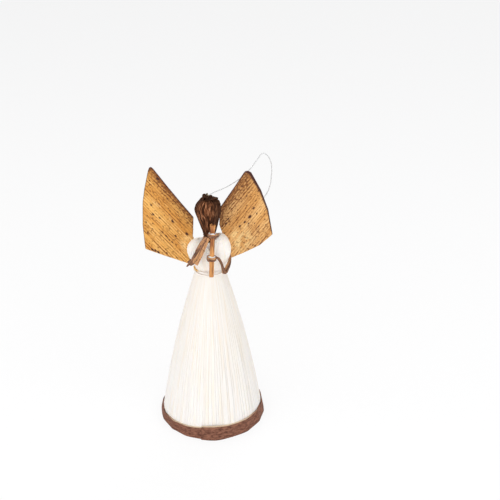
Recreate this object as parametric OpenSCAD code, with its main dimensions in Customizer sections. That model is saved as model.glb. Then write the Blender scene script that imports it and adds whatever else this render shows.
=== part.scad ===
// Raffia angel that plays a pipe, a hanging ornament that also stands on its hem.
// Millimetres, +Z up, origin at the middle of the hem on the table, face towards -Y.

/* [Skirt] */
// Height of the waist above the table
waist_h = 71; // [60:1:85]
// Outer radius of the raffia at the hem
hem_r = 21.8; // [18:0.2:26]
// Outer radius of the raffia at the waist
waist_r = 6.4; // [5.6:0.1:8]
// How far the flank swells past a straight line
skirt_swell = 1.4; // [0.6:0.1:3]
// Thickness of the raffia layer
raffia_t = 0.9; // [0.6:0.1:1.4]
// Height of the gathered collar above the waist
collar_h = 3.2; // [2.8:0.1:5]
// Wall of the card cone under the raffia
card_t = 0.8; // [0.5:0.1:1.2]
// Angle of the card's glued lap
card_lap = 24; // [10:1:40]

/* [Hem band] */
// Height of the bark band at the lap in front
band_h = 6.4; // [5:0.1:9]
// How far the band's upper edge sinks from the front to the back
band_sink = 2.8; // [0:0.1:3.4]
// How far the band's upper edge rises from the left to the right
band_rise = 2.4; // [0:0.1:3]
// Thickness of the bark band
band_t = 0.7; // [0.5:0.1:1.2]
// Angle of the lap at the front
band_lap = 14; // [8:1:30]
// Direction of the lap's free end, from the front towards the left
band_lap_at = 11; // [0:1:40]

/* [Bodice] */
// Height of the left puff above the collar
left_puff_h = 12.2; // [10:0.2:15]
// Height of the right puff above the collar
right_puff_h = 14.6; // [10:0.2:16]
// Height at which the puffs are widest, above the collar
puff_full_at = 7.4; // [5:0.2:9]
// Reach of the left puff from the middle
left_puff_w = 9.2; // [7.5:0.1:10.5]
// Reach of the right puff from the middle
right_puff_w = 8.5; // [7.5:0.1:10.5]
// Half depth of the bodice where the puffs are widest
puff_half_d = 5.8; // [5:0.1:7]
// Distance of each puff's summit from the middle
puff_summit = 4.4; // [3.6:0.1:5.4]
// Share of the depth that the crease between the puffs takes
puff_crease = 0.12; // [0:0.02:0.3]

/* [Head] */
// Radius of the bark-covered head
head_r = 5.45; // [4.5:0.05:7]
// Thickness of the bark over the ball
bark_t = 0.85; // [0.6:0.05:1.2]
// Height of the head's middle above the neck's foot
head_up = 13.6; // [12:0.1:16]
// Radius of the neck
neck_r = 2.2; // [1.8:0.1:2.8]
// Height of the straight neck
neck_h = 2.6; // [2.2:0.1:4]
// Radius of the bark's tail inside the bodice
tail_r = 1.9; // [1.4:0.1:2.2]
// Length of the bark ends that stand up on the crown
tuft_len = 2.2; // [1.5:0.1:4]

/* [Ties] */
// Diameter of the strand round the waist
waist_tie_d = 0.7; // [0.5:0.05:0.9]
// Diameter of the strand round the neck
neck_tie_d = 0.6; // [0.4:0.05:0.7]
// Climb of each turn past the strand's own diameter
tie_space = 0.5; // [0.45:0.01:0.6]

/* [Pipe, arms and hands] */
// Outer radius of the pipe
pipe_r = 0.95; // [0.7:0.05:1.3]
// Radius of the pipe's bore
pipe_bore_r = 0.5; // [0.3:0.05:0.6]
// Width of the arm strips
arm_w = 3.6; // [2.6:0.1:4.2]
// Thickness of the arm strips
arm_t = 0.6; // [0.4:0.05:0.9]
// Width of the strips that make the hands
hand_w = 1.6; // [1.2:0.1:2.2]
// Thickness of the strips that make the hands
hand_t = 0.45; // [0.3:0.05:0.6]
// Room between the pipe and the hands, filled with glue
glue_t = 0.5; // [0.3:0.05:0.7]

/* [Wings] */
// Thickness of the leaf that the wings are cut from
wing_t = 1.0; // [0.6:0.1:1.4]
// Angle that the wings sweep back
wing_sweep = 8; // [4:1:14]
// Rounding of the wings' corners
wing_round = 1.2; // [0.6:0.1:2]

/* [Hanging thread] */
// Diameter of the nylon thread
thread_d = 0.4; // [0.3:0.05:0.5]
// Radius of the knot
knot_r = 0.7; // [0.5:0.05:0.8]

/* [Hidden] */
$fn = 48;
// Clearance between pieces that are glued or bound to each other
seat = 0.05;
// Clearance between the loop's knot and the head
swing_gap = 0.35;
// Height of the card's edge above the foot, where the raffia and the band are cut level
card_lift = 0.4;
// How far the band's lapped end stands above the rest
lap_step = 0.5;
// Angles that the lap keeps its step past the end under it, and takes to come down
lap_rest = 2;
lap_ramp = 18;
band_steps = 96;
// Height of the shoulder where the skirt draws in to its collar
collar_step = 0.4;
// How far the collar lies inside the waist
collar_in = 0.2;

// Heights of the main joints
collar_top = waist_h + collar_h;
collar_r = waist_r - collar_in;
neck_z = collar_top + left_puff_h;
head_z = neck_z + head_up;
ball_r = head_r - bark_t;
crown_hole_r = 1.2;
// Height at which the crown's bark ends fan out, above the head
tuft_up = 0.35;

// The skirt's flank is one arc through the hem and the waist
chord = norm([hem_r - waist_r, waist_h]);
flank_r = (chord * chord / 4 + skirt_swell * skirt_swell) / (2 * skirt_swell);
flank_in = (flank_r - skirt_swell) / chord;
flank_cx = (hem_r + waist_r) / 2 - flank_in * waist_h;
flank_cz = waist_h / 2 - flank_in * (hem_r - waist_r);
flank_steps = 10;

// Ring of the pipe, glue and strip that each hand makes
hand_in_r = pipe_r + glue_t;
// How far the pipe's foot stands in front of the waist and bodice
pipe_stand = 2.5;
// How far the pipe's mouth end lies under the head's widest
mouth_in = 0.7;
pipe_front = max(waist_r + waist_tie_d, puff_half_d) + pipe_stand;
pipe_foot = [0.7, -pipe_front, collar_top - 0.2];
pipe_top = [1.5, mouth_in - head_r - pipe_r, head_z - 3.6];
pipe_dir = unit(pipe_top - pipe_foot);
// Distances of the hands from the foot of the pipe
left_hand_up = norm(pipe_top - pipe_foot) - 4.35;
right_hand_up = 8.4;
// Directions of the hands' free ends round the pipe
left_tail_turn = -78;
right_tail_turn = 190;

// Shoulders, elbows and wrists of the arm strips
right_arm_w = arm_w - 2;
left_shoulder_up = 3.2;
right_shoulder_up = 5.2;
arm_stand = 2.8;
left_shoulder = [-shoulder_out(left_puff_w, left_shoulder_up + arm_w / 2), 0, collar_top + left_shoulder_up];
left_elbow = [3.9 - left_puff_w, -(puff_half_d + arm_stand), collar_top + 6.8];
left_wrist = pipe_at(left_hand_up) - [hand_in_r + 0.5, hand_in_r + 0.3, 0.6];
right_shoulder = [
    shoulder_out(right_puff_w, right_shoulder_up + right_arm_w / 2), 0, collar_top + right_shoulder_up];
right_elbow = [right_puff_w - 2.3, -(puff_half_d + 0.8), collar_top + 0.4];
right_wrist = pipe_at(right_hand_up) + [hand_in_r + hand_t + right_arm_w / 2, -0.5, 0.6];

// Arm strips from the shoulder to the wrist, as points with the strip's own width direction
left_arm_path = [
    [left_shoulder + [0, 2.2, 0], [0, 0, 1]],
    [left_shoulder + [0, -1.8, 0], [0, 0, 1]],
    [left_shoulder + [0.3, -5, 0.5], [-0.3, -0.2, 0.9]],
    [left_elbow + [-2.1, 1.3, -2.1], [-0.65, -0.3, 0.7]],
    [left_elbow + [-0.8, 0.3, -1.1], [-0.82, -0.2, 0.5]],
    [left_elbow, [-0.9, 0, 0.42]],
    [(left_elbow + left_wrist) / 2, [-0.9, 0, 0.42]],
    [left_wrist, [-0.9, 0, 0.42]]
];
right_arm_path = [
    [right_shoulder + [0.1, 0.6, 0], [0, -0.5, 0.86]],
    [right_shoulder + [-0.1, -2.4, -1.7], [0.1, -0.5, 0.85]],
    [right_elbow + [1, 1.9, 1.5], [0.5, -0.5, 0.7]],
    [right_elbow + [0.3, 0.5, 0.25], [0.85, -0.45, 0.2]],
    [right_elbow, [0.88, -0.45, 0.16]],
    [right_elbow + [-0.2, -0.45, 0.15], [0.88, -0.45, 0.16]],
    [right_elbow + [-0.4, -0.6, 0.7], [0.88, -0.45, 0.16]],
    [(right_elbow + right_wrist) / 2, [0.88, -0.45, 0.16]],
    [right_wrist, [0.88, -0.45, 0.16]]
];

// Wing outlines from the body's middle outwards and up from wing_z, with a rounding for each corner
wing_in = 0.6;
wing_z = collar_top + 3.8;
wing_y = puff_half_d + wing_t / 2 - wing_in;
bow = 30;
left_wing_outline = [
    [24.6, 38.6, wing_round], [14.3, 25.8, bow], [6.9, 14.7, wing_round], [7.2, 4.4, 2],
    [0.8, 2.4, wing_round], [0.8, -1, wing_round], [8.8, -7.6, wing_round], [27.5, -1.7, wing_round],
    [28.4, 11, bow], [27.2, 24, bow]
];
right_wing_outline = [
    [16, 37.1, wing_round], [4.5, 19.4, wing_round], [4, 12.8, 6], [6.2, 4.6, 3],
    [0.8, 2.4, wing_round], [0.8, -1, wing_round], [8.6, -4.5, wing_round], [16.7, -2, bow],
    [26.2, 6.2, wing_round], [23.3, 19.4, bow], [20.6, 28.2, bow]
];

// The knot lies against the back of the crown, by its lean from upright and its turn from +X
knot_lean = 51.4;
knot_turn = 100.2;
knot_at = [0, 0, head_z]
    + (head_r + knot_r + swing_gap)
    * [sin(knot_lean) * cos(knot_turn), sin(knot_lean) * sin(knot_turn), cos(knot_lean)];
// The thread's loop lies in one upright plane behind the right wing
loop_turn = 32;
loop_dir = [cos(loop_turn), sin(loop_turn), 0];
// Points of the loop, along its plane and up from the knot
loop_points = [
    [0.8, 0.1], [3.8, 0.6], [8.5, 1.2], [13, 2.4], [17.2, 4.2], [21, 6.8], [24.2, 10], [26.6, 12],
    [28.6, 10.8], [30.4, 7.8], [31.2, 4], [31, 0], [30.2, -4.6], [27.6, -8.6], [23, -10.6],
    [17, -11], [11, -9.8], [6, -7], [2.4, -3.2], [0.4, -0.7]
];
loop_sides = 8;
loop_steps = 4;

function unit(v) = v / norm(v);

// Radius of the skirt's outer face at a height
function flank(z) = flank_cx + sqrt(flank_r * flank_r - pow(z - flank_cz, 2));

// Swell of a puff from the collar, 0, to its widest, 1
function puff_swell(up) = sin(min(90, 90 * up / puff_full_at));

// Half width of a puff at a height above the collar, up to where it is widest
function puff_side(reach, up) = collar_r + (reach - collar_r) * puff_swell(up);

// Distance of an arm strip from the middle, where it lies on a puff
function shoulder_out(reach, up) = puff_side(reach, up) + arm_t / 2 + seat;

// Point on the pipe's axis, at a distance from its foot
function pipe_at(up) = pipe_foot + pipe_dir * up;

// Points of an arc about [cx, cy]
function arc(cx, cy, r, from, to, steps) =
    [for (i = [0 : steps]) let (a = from + (to - from) * i / steps) [cx + r * cos(a), cy + r * sin(a)]];

// Direction of a path at each of its points
function tangents(path) =
    [for (i = [0 : len(path) - 1]) unit(path[min(i + 1, len(path) - 1)] - path[max(i - 1, 0)])];

// A smooth curve through points, by cubic spans with the given steps each
function smooth_path(p, steps) =
    let (last = len(p) - 1)
    concat(
        [for (i = [0 : last - 1]) for (k = [0 : steps - 1])
            let (t = k / steps, a = p[max(i - 1, 0)], b = p[i], c = p[i + 1], d = p[min(i + 2, last)])
            b + t / 2 * ((c - a) + t * ((2 * a - 5 * b + 4 * c - d) + t * (3 * b - a - 3 * c + d)))],
        [p[last]]);

// Corner points of an outline, each corner [x, y, radius] replaced by an arc
function rounded(c, steps) =
    let (n = len(c))
    [for (i = [0 : n - 1])
        let (
            p = [c[i][0], c[i][1]],
            before = [c[(i + n - 1) % n][0], c[(i + n - 1) % n][1]],
            after = [c[(i + 1) % n][0], c[(i + 1) % n][1]],
            u = unit(before - p), v = unit(after - p),
            half = acos(u * v) / 2,
            back = c[i][2] / tan(half),
            middle = p + unit(u + v) * c[i][2] / sin(half),
            a = p + u * back - middle, b = p + v * back - middle)
        for (k = [0 : steps]) middle + c[i][2] * unit(a * (1 - k / steps) + b * k / steps)];

// Turns of a winding about Z, starting at height z
function winding(r, z, climb, turns) =
    [for (i = [0 : turns * 24]) [r * cos(15 * i), r * sin(15 * i), z + climb * i / 24]];

// Least clear room between the turns of a winding, measured on its points
function least_gap(p, d) =
    min([for (i = [0 : len(p) - 13]) for (j = [i + 12 : len(p) - 1]) norm(p[i] - p[j])]) - d;

// Triangles that join rings of m points, with both ends closed and like diagonals on both halves
function skin(n, m) = concat(
    [for (i = [0 : n - 2]) for (k = [0 : m - 1])
        let (p = i * m + k, q = i * m + (k + 1) % m)
        each k < m / 2
            ? [[p, q + m, q], [p, p + m, q + m]]
            : [[p, p + m, q], [q, p + m, q + m]]],
    [for (k = [1 : m - 2]) [0, k, k + 1]],
    [for (k = [1 : m - 2]) let (e = (n - 1) * m) [e, e + k + 1, e + k]]);

// Round strand along a path, with one side turned to the direction up
module strand(path, d, sides, up) {
    t = tangents(path);
    rings = [for (i = [0 : len(path) - 1])
        let (a = unit(up - (up * t[i]) * t[i]), b = cross(t[i], a))
        for (k = [0 : sides - 1])
            path[i] + d / 2 * (cos(360 * k / sides) * a + sin(360 * k / sides) * b)];
    polyhedron(rings, skin(len(path), sides));
}

// Flat strip along a path of [point, width direction]
module strip(stations, w, t) {
    path = [for (s = stations) s[0]];
    along = tangents(path);
    rings = [for (i = [0 : len(path) - 1])
        let (
            side = unit(stations[i][1] - (stations[i][1] * along[i]) * along[i]) * w / 2,
            face = cross(along[i], unit(side)) * t / 2)
        each [path[i] + side + face, path[i] - side + face, path[i] - side - face, path[i] + side - face]];
    polyhedron(rings, skin(len(path), 4));
}

module card_cone() {
    foot_r = flank(card_lift) - raffia_t - seat;
    top_r = waist_r - raffia_t - seat;
    color("tan") {
        rotate_extrude()
            polygon([
                [foot_r - card_t, card_lift], [foot_r, card_lift],
                [top_r, waist_h], [top_r - card_t, waist_h]]);
        rotate([0, 0, 90])
            rotate_extrude(angle = card_lap)
                polygon([
                    [foot_r - 2 * card_t, card_lift], [foot_r - card_t, card_lift],
                    [top_r - card_t, waist_h], [top_r - 2 * card_t, waist_h]]);
    }
}

module raffia_skirt() {
    outer = [for (i = [0 : flank_steps])
        let (z = waist_h * i / flank_steps)
        [flank(z), z]];
    inner = [for (p = outer) [p[0] - raffia_t, p[1]]];
    color("ivory")
        rotate_extrude($fn = 96)
            polygon(concat(
                outer,
                [[collar_r, waist_h + collar_step], [collar_r, collar_top]],
                [[collar_r - raffia_t, collar_top]],
                [for (i = [flank_steps : -1 : 0]) inner[i]]));
}

// Height of the band's slanting upper edge in a direction from +X
function band_edge(a) =
    band_h - lap_step - band_sink / 2 * (1 + sin(a)) + band_rise / 2 * cos(a);

// How much of the lap's step is left at a turn along the band, 1 at its free end
function lap_share(turn) = max(0, min(1, 1 - (turn - band_lap - lap_rest) / lap_ramp));

// Point at a distance out from the raffia, in a direction from +X
function hem_point(out, a, z) = [(flank(z) + out) * cos(a), (flank(z) + out) * sin(a), z];

module hem_band() {
    length = 360 + band_lap;
    rings = [for (i = [0 : band_steps])
        let (
            turn = length * i / band_steps,
            a = 270 - band_lap_at + turn,
            in = seat + (band_t + seat) * lap_share(turn),
            top = band_edge(a) + lap_step * lap_share(turn))
        each [
            hem_point(in + band_t, a, top), hem_point(in + band_t, a, 0),
            hem_point(in, a, 0), hem_point(in, a, top)]];
    color("saddlebrown")
        polyhedron(rings, skin(band_steps + 1, 4));
}

module waist_tie() {
    turns = 1.4;
    climb = waist_tie_d + tie_space;
    start = collar_top - turns * climb - waist_tie_d / 2;
    path = winding(collar_r + waist_tie_d / 2 + seat, start, climb, turns);
    echo(waist_tie_least_gap = least_gap(path, waist_tie_d));
    color("goldenrod")
        rotate([0, 0, 120])
            strand(path, waist_tie_d, 6, [0, 0, 1]);
}

// One side of the bodice, a bundle that swells from the collar and closes at its summit
module puff(side, reach, h) {
    rows = 14;
    cols = 14;
    closing = 0.995;
    foot_d = collar_r - collar_in;
    rings = [for (i = [0 : rows])
        let (
            up = closing * h * (1 - pow(1 - i / rows, 1.5)),
            high = max(0, (up - puff_full_at) / (h - puff_full_at)),
            dome = sqrt(1 - high * high),
            inner = puff_summit * pow(high, 3),
            outer = high > 0 ? puff_summit + (reach - puff_summit) * dome : puff_side(reach, up),
            depth = high > 0 ? puff_half_d * dome : foot_d + (puff_half_d - foot_d) * puff_swell(up))
        for (k = [0 : cols])
            let (
                turn = side * (180 * k / cols - 90),
                crease = 1 - puff_crease * pow(1 - cos(turn), 2))
            [
                side * (seat + inner + (outer - inner) * cos(turn)),
                depth * sin(turn) * crease,
                collar_top + seat + up]];
    difference() {
        polyhedron(rings, skin(rows + 1, cols + 1));
        translate([0, 0, waist_h])
            cylinder(r = tail_r + seat, h = collar_h + left_puff_h + 2 * seat);
        translate([0, 0, neck_z])
            cylinder(r = neck_r + neck_tie_d + 3 * seat, h = h);
    }
}

module left_puff() {
    color("floralwhite") puff(-1, left_puff_w, left_puff_h);
}

module right_puff() {
    color("floralwhite") puff(1, right_puff_w, right_puff_h);
}

module head_ball() {
    color("burlywood")
        translate([0, 0, head_z])
            sphere(r = ball_r - seat);
}

module head_wrap() {
    lean = 24;
    hole_out = acos(crown_hole_r / head_r);
    hole_in = acos(crown_hole_r / ball_r);
    color([0.3, 0.18, 0.13])
        rotate_extrude()
            polygon(concat(
                [[0, waist_h], [tail_r, waist_h], [tail_r, neck_z]],
                [[neck_r, neck_z + seat], [neck_r, neck_z + neck_h]],
                arc(0, head_z, head_r, -lean, hole_out, 10),
                arc(0, head_z, ball_r, hole_in, -90, 12)));
}

// One frayed bark end, leaning out from the crown
module bark_end(turn, lean, len) {
    translate([0, 0, head_z + head_r + tuft_up])
        rotate([0, lean, turn])
            cylinder(r1 = 0.55, r2 = 0.3, h = len, $fn = 24);
}

module crown_tuft() {
    color([0.2, 0.12, 0.09]) {
        translate([0, 0, head_z + ball_r])
            cylinder(r = crown_hole_r - seat, h = bark_t + 2 * tuft_up);
        for (i = [0 : 4])
            bark_end(100 + 35 * i, i % 2 == 0 ? 62 : 42, tuft_len);
        bark_end(-8, 86, tuft_len + 1.7);
        bark_end(24, 78, tuft_len + 0.9);
    }
}

module neck_tie() {
    turns = 1.5;
    out = neck_tie_d / 2 + seat;
    path = winding(neck_r + out, neck_z + out, neck_tie_d + tie_space, turns);
    echo(neck_tie_least_gap = least_gap(path, neck_tie_d));
    color("peru")
        strand(path, neck_tie_d, 6, [0, 0, 1]);
}

// Puts a child upright on the pipe's axis, at a distance from its foot
module on_pipe(up) {
    translate(pipe_at(up))
        rotate([0, acos(pipe_dir[2]), atan2(pipe_dir[1], pipe_dir[0])])
            children();
}

module pipe() {
    len = norm(pipe_top - pipe_foot);
    past = 1;
    color("peru")
        on_pipe(0)
            difference() {
                cylinder(r = pipe_r, h = len);
                translate([0, 0, -past])
                    cylinder(r = pipe_bore_r, h = len + 2 * past);
            }
}

module left_arm() {
    color("sienna") strip(left_arm_path, arm_w, arm_t);
}

module right_arm() {
    color("sienna") strip(right_arm_path, right_arm_w, arm_t);
}

// Strip curled round the pipe, with its end left standing out
module hand(up, tail_turn) {
    tail = 1.35;
    on_pipe(up)
        linear_extrude(hand_w, center = true) {
            difference() {
                circle(hand_in_r + hand_t);
                circle(hand_in_r);
            }
            rotate(tail_turn)
                translate([hand_in_r + hand_t / 2, 0])
                    square([tail, hand_t]);
        }
}

module left_hand() {
    color("sienna") hand(left_hand_up, left_tail_turn);
}

module right_hand() {
    color("sienna") hand(right_hand_up, right_tail_turn);
}

module hand_glue() {
    glue_h = hand_w - 0.5;
    color("whitesmoke")
        for (up = [left_hand_up, right_hand_up])
            on_pipe(up)
                difference() {
                    cylinder(r = hand_in_r - seat / 2, h = glue_h, center = true);
                    cylinder(r = pipe_r + seat / 2, h = hand_w, center = true);
                }
}

// Leaf sheet cut to an outline, swept back from the middle of the bodice
module wing(outline) {
    translate([0, wing_y, wing_z])
        rotate([90, 0, wing_sweep])
            linear_extrude(wing_t, center = true)
                polygon(rounded(outline, 4));
}

module left_wing() {
    color("goldenrod")
        mirror([1, 0, 0])
            wing(left_wing_outline);
}

module right_wing() {
    color("goldenrod") wing(right_wing_outline);
}

module thread_knot() {
    color("khaki")
        translate(knot_at)
            sphere(r = knot_r);
}

module hanging_thread() {
    route = [for (p = smooth_path(loop_points, loop_steps)) knot_at + p[0] * loop_dir + [0, 0, p[1]]];
    color("gainsboro")
        strand(route, thread_d, loop_sides, cross(loop_dir, [0, 0, 1]));
}

card_cone();
raffia_skirt();
hem_band();
waist_tie();
left_puff();
right_puff();
head_ball();
head_wrap();
crown_tuft();
neck_tie();
pipe();
left_arm();
right_arm();
left_hand();
right_hand();
hand_glue();
left_wing();
right_wing();
thread_knot();
hanging_thread();
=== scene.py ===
"""Raffia angel that plays a pipe: raffia, bark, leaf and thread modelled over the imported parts."""

import random
from math import copysign, cos, exp, hypot, pi, radians, sin, sqrt

import bmesh
import bpy
from bpy.props import FloatProperty, FloatVectorProperty, IntProperty, PointerProperty
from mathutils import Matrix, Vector, noise


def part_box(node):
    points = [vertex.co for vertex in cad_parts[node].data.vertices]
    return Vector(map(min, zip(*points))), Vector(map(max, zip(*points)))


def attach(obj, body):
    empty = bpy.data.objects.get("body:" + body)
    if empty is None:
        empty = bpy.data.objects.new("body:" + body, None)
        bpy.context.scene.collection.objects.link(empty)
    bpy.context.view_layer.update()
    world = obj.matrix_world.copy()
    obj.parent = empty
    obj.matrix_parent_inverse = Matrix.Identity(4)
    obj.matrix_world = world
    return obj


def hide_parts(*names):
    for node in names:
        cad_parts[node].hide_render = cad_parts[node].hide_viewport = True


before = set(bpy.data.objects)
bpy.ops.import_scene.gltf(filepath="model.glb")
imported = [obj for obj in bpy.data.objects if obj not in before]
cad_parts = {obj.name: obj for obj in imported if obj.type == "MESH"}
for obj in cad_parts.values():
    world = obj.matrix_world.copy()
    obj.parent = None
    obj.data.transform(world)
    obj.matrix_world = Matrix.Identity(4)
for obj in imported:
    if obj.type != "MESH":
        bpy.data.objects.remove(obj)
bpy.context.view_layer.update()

bl_info = {
    "name": "Raffia angel",
    "version": (1, 0, 0),
    "blender": (4, 5, 0),
    "location": "View3D > Sidebar > Angel",
    "description": "Dresses the angel's solids with raffia strips, bark, leaf and nylon thread",
    "category": "Object",
}

# Shapes are worked out in millimetres and written to the meshes in metres
MM = 0.001
TURN = 2 * pi
UP = Vector((0, 0, 1))

# Layers of a mesh: coordinates along and across its fibres, and colours that mark places on it
FIBRE = "fibre"
MARKS = "marks"


def box_mm(node):
    """Lowest and highest corner of a solid, in millimetres."""
    low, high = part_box(node)
    return low / MM, high / MM


# Skirt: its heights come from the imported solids, and its flank swells between the hem and the waist
COLLAR_TOP = box_mm("raffia_skirt")[1].z
WAIST_Z = box_mm("card_cone")[1].z
HEM_R = 21.8
WAIST_R = 6.4
COLLAR_R = 6.2
COLLAR_BEND_H = 1
SKIRT_SWELL = 1.4
SKIRT_FOOT = 0.5

# Pinch in the raffia at the waist tie, the tie's clearance and the gap between the turns of a tie
PINCH_DEPTH = 0.35
PINCH_Z = WAIST_Z + 0.3
PINCH_SPREAD = 0.7
TIE_CLEARANCE = 0.05
TIE_GAP = 0.5

# Head and neck: the bark leans to the left, and slopes off there by a share of its radius
HEAD_Z = sum(c.z for c in box_mm("head_ball")) / 2
NECK_Z = box_mm("neck_tie")[0].z
NECK_R = 2.25
HEAD_LEAN = -0.55
HEAD_SLOPE = 0.25

# Puffs of the bodice: gap to the middle and the collar, summit, widest place, depth and crease, and the
# share of a strip that is tucked into the collar with its fall there
PUFF_GAP = 0.05
PUFF_SUMMIT = 4.4
PUFF_FULL_AT = 7.4
PUFF_FOOT_DEPTH = 6
PUFF_DEPTH = 5.8
PUFF_CREASE = 0.12
PUFF_TUCK = 0.08
PUFF_TUCK_FALL = 20

# Pipe, from its foot at the waist to the mouth, and the hands on it
PIPE_FOOT = Vector((0.7, -9.6, COLLAR_TOP - 0.2))
PIPE_TOP = Vector((1.5, -5.7, HEAD_Z - 3.6))
PIPE_R = 0.95
PIPE_LENGTH = (PIPE_TOP - PIPE_FOOT).length
HAND_IN_R = 1.45
LEFT_HAND_UP = PIPE_LENGTH - 4.35
RIGHT_HAND_UP = 8.4

# Wings: height of their zero line, distance behind the middle and sweep
WING_Z = COLLAR_TOP + 3.8
WING_Y = 5.7
WING_SWEEP = radians(8)

# Route of the nylon loop, along its upright plane and up from the knot
KNOT_AT = Vector((-0.9, 5.0, HEAD_Z + 4.055))
LOOP_TURN = radians(32)
LOOP_POINTS = (
    (0.8, 0.1), (3.8, 0.6), (8.5, 1.2), (13, 2.4), (17.2, 4.2), (21, 6.8), (24.2, 10), (26.6, 12),
    (28.6, 10.8), (30.4, 7.8), (31.2, 4), (31, 0), (30.2, -4.6), (27.6, -8.6), (23, -10.6),
    (17, -11), (11, -9.8), (6, -7), (2.4, -3.2), (0.4, -0.7),
)


def strips(name, text, default, least):
    """A number of strips that a user may change."""
    return IntProperty(name=name, description=text, default=default, min=least)


def size(name, text, default):
    """A length that a user may change, in metres, given in millimetres."""
    return FloatProperty(
        name=name, description=text, default=default * MM, min=0, unit="LENGTH", precision=5)


def colour(name, text, default):
    """A colour that a user may change."""
    return FloatVectorProperty(
        name=name, description=text, default=default, min=0, max=1, size=3, subtype="COLOR")


class AngelSizes(bpy.types.PropertyGroup):
    """Sizes and counts of the strips, strands and leaves."""

    skirt_strips: strips("Skirt strips", "Raffia strips round the skirt", 92, 12)
    puff_strips: strips("Puff strips", "Raffia strips over each puff", 26, 6)
    bark_strips: strips("Bark strips", "Bark strips over the head", 40, 6)
    raffia_t: size("Raffia thickness", "Thickness of a raffia strip", 0.12)
    bark_t: size("Bark thickness", "Thickness of the bark over the head", 0.35)
    ends_t: size("Ends' thickness", "Thickness of the bark ends at the crown", 0.28)
    band_h: size("Band height", "Height of the bark band at the front", 5.7)
    band_t: size("Band thickness", "Thickness of the bark band", 0.5)
    wing_t: size("Wing thickness", "Thickness of the wings' leaf", 0.9)
    arm_t: size("Arm thickness", "Thickness of the arms' leaf strips", 0.45)
    pipe_t: size("Pipe wall", "Thickness of the leaf that is rolled to the pipe", 0.22)
    hand_w: size("Hand width", "Width of the strips curled round the pipe", 1.7)
    hand_t: size("Hand thickness", "Thickness of the strips curled round the pipe", 0.3)
    waist_tie_d: size("Waist tie", "Diameter of the strand at the waist", 0.7)
    neck_tie_d: size("Neck tie", "Diameter of the strand at the neck", 0.6)
    thread_d: size("Thread", "Diameter of the nylon thread", 0.4)


class AngelColours(bpy.types.PropertyGroup):
    """Colours of the finishes."""

    raffia: colour("Raffia", "Bleached raffia", (0.892, 0.848, 0.8))
    # Painted light: raffia lightened on the bodice, which lies in more shade than the skirt
    raffia_painted_light: colour("Pale raffia", "Whiter raffia of the bodice", (0.95, 0.9, 0.845))
    # Also the warm painted shade at the waist, in the bodice's creases and towards the puffs' summits
    raffia_streak_and_painted_shade: colour("Raffia streak", "Warm fibres in the raffia", (0.84, 0.67, 0.47))
    bark: colour("Bark", "Dark bark of the head", (0.15, 0.05, 0.018))
    bark_pale: colour("Pale bark", "Paler fibres in the bark", (0.5, 0.225, 0.11))
    band: colour("Band", "Bark of the hem band", (0.15, 0.057, 0.035))
    band_pale: colour("Pale band", "Red-brown mottling of the hem band", (0.35, 0.158, 0.1))
    leaf: colour("Leaf", "Golden leaf of the left wing", (0.63, 0.265, 0.045))
    leaf_pale: colour("Pale leaf", "Paler leaf of the left wing", (0.88, 0.49, 0.135))
    leaf_tan: colour("Tan leaf", "Leaf of the right wing", (0.62, 0.285, 0.07))
    leaf_tan_pale: colour("Pale tan leaf", "Paler leaf of the right wing", (0.83, 0.485, 0.19))
    # Also the painted sheen on the leaf's creases at the root and along a ridge
    leaf_dry_and_painted_sheen: colour("Dry leaf", "Bleached veins and creases of the leaf", (0.95, 0.67, 0.3))
    leaf_dark: colour("Dark leaf", "Specks and cut edges of the leaf", (0.055, 0.016, 0.012))
    arm: colour("Arm", "Dark half of the arm strips", (0.19, 0.083, 0.044))
    arm_pale: colour("Pale arm", "Tan half of the arm strips", (0.56, 0.28, 0.12))
    pipe: colour("Pipe", "Tan leaf of the pipe", (0.28, 0.088, 0.022))
    pipe_pale: colour("Pale pipe", "Paler streaks of the pipe", (0.68, 0.31, 0.095))
    straw: colour("Straw", "Golden strand of the ties", (0.74, 0.43, 0.12))
    glue: colour("Glue", "Milky dried glue", (0.88, 0.87, 0.82))
    nylon: colour("Nylon", "Clear nylon thread", (0.82, 0.82, 0.82))
    knot: colour("Knot", "Yellowed knot of the thread", (0.7, 0.62, 0.36))
    card: colour("Card", "Card of the skirt's cone", (0.5, 0.34, 0.19))
    floor: colour("Floor", "Pale floor", (0.93, 0.93, 0.94))


# Curves and surfaces


def smooth_step(low, high, x):
    """0 below low, 1 above high, and smooth between."""
    t = min(1, max(0, (x - low) / (high - low)))
    return t * t * (3 - 2 * t)


def smooth_point(points, t):
    """Point at share t of a smooth curve through the points."""
    last = len(points) - 1
    i = min(int(t * last), last - 1)
    f = t * last - i
    a, b, c, d = (points[min(max(k, 0), last)] for k in range(i - 1, i + 3))
    return b + f / 2 * ((c - a) + f * ((2 * a - 5 * b + 4 * c - d) + f * (3 * b - a - 3 * c + d)))


def heading(curve, t, step):
    """Direction of a curve, a function of the share along it, at share t."""
    return (curve(min(1, t + step)) - curve(max(0, t - step))).normalized()


def direction(points, t):
    """Direction of a smooth curve through the points at share t."""
    return heading(lambda share: smooth_point(points, share), t, 0.004)


def runs(points):
    """Lengths of the straight runs between points."""
    return [(b - a).length for a, b in zip(points, points[1:])]


def polyline(points, t):
    """Point at share t of the length of straight runs between points."""
    lengths = runs(points)
    left = t * sum(lengths)
    for a, b, run in zip(points, points[1:], lengths):
        if left <= run:
            return a.lerp(b, left / run)
        left -= run
    return points[-1]


def corner_shares(points):
    """Shares of the length at which the corners between straight runs lie."""
    lengths = runs(points)
    return [sum(lengths[:i]) / sum(lengths) for i in range(1, len(lengths))]


def snap(t, shares, steps):
    """Share t of evenly stepped lines, moved so that the line nearest to each corner goes through it."""
    lines = {0: 0, steps: 1, **{round(share * steps): share for share in shares}}
    lines = sorted(lines.items())
    for (a, low), (b, high) in zip(lines, lines[1:]):
        if t * steps <= b + 0.001:
            return low + (high - low) * (t * steps - a) / (b - a)
    return 1


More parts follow.
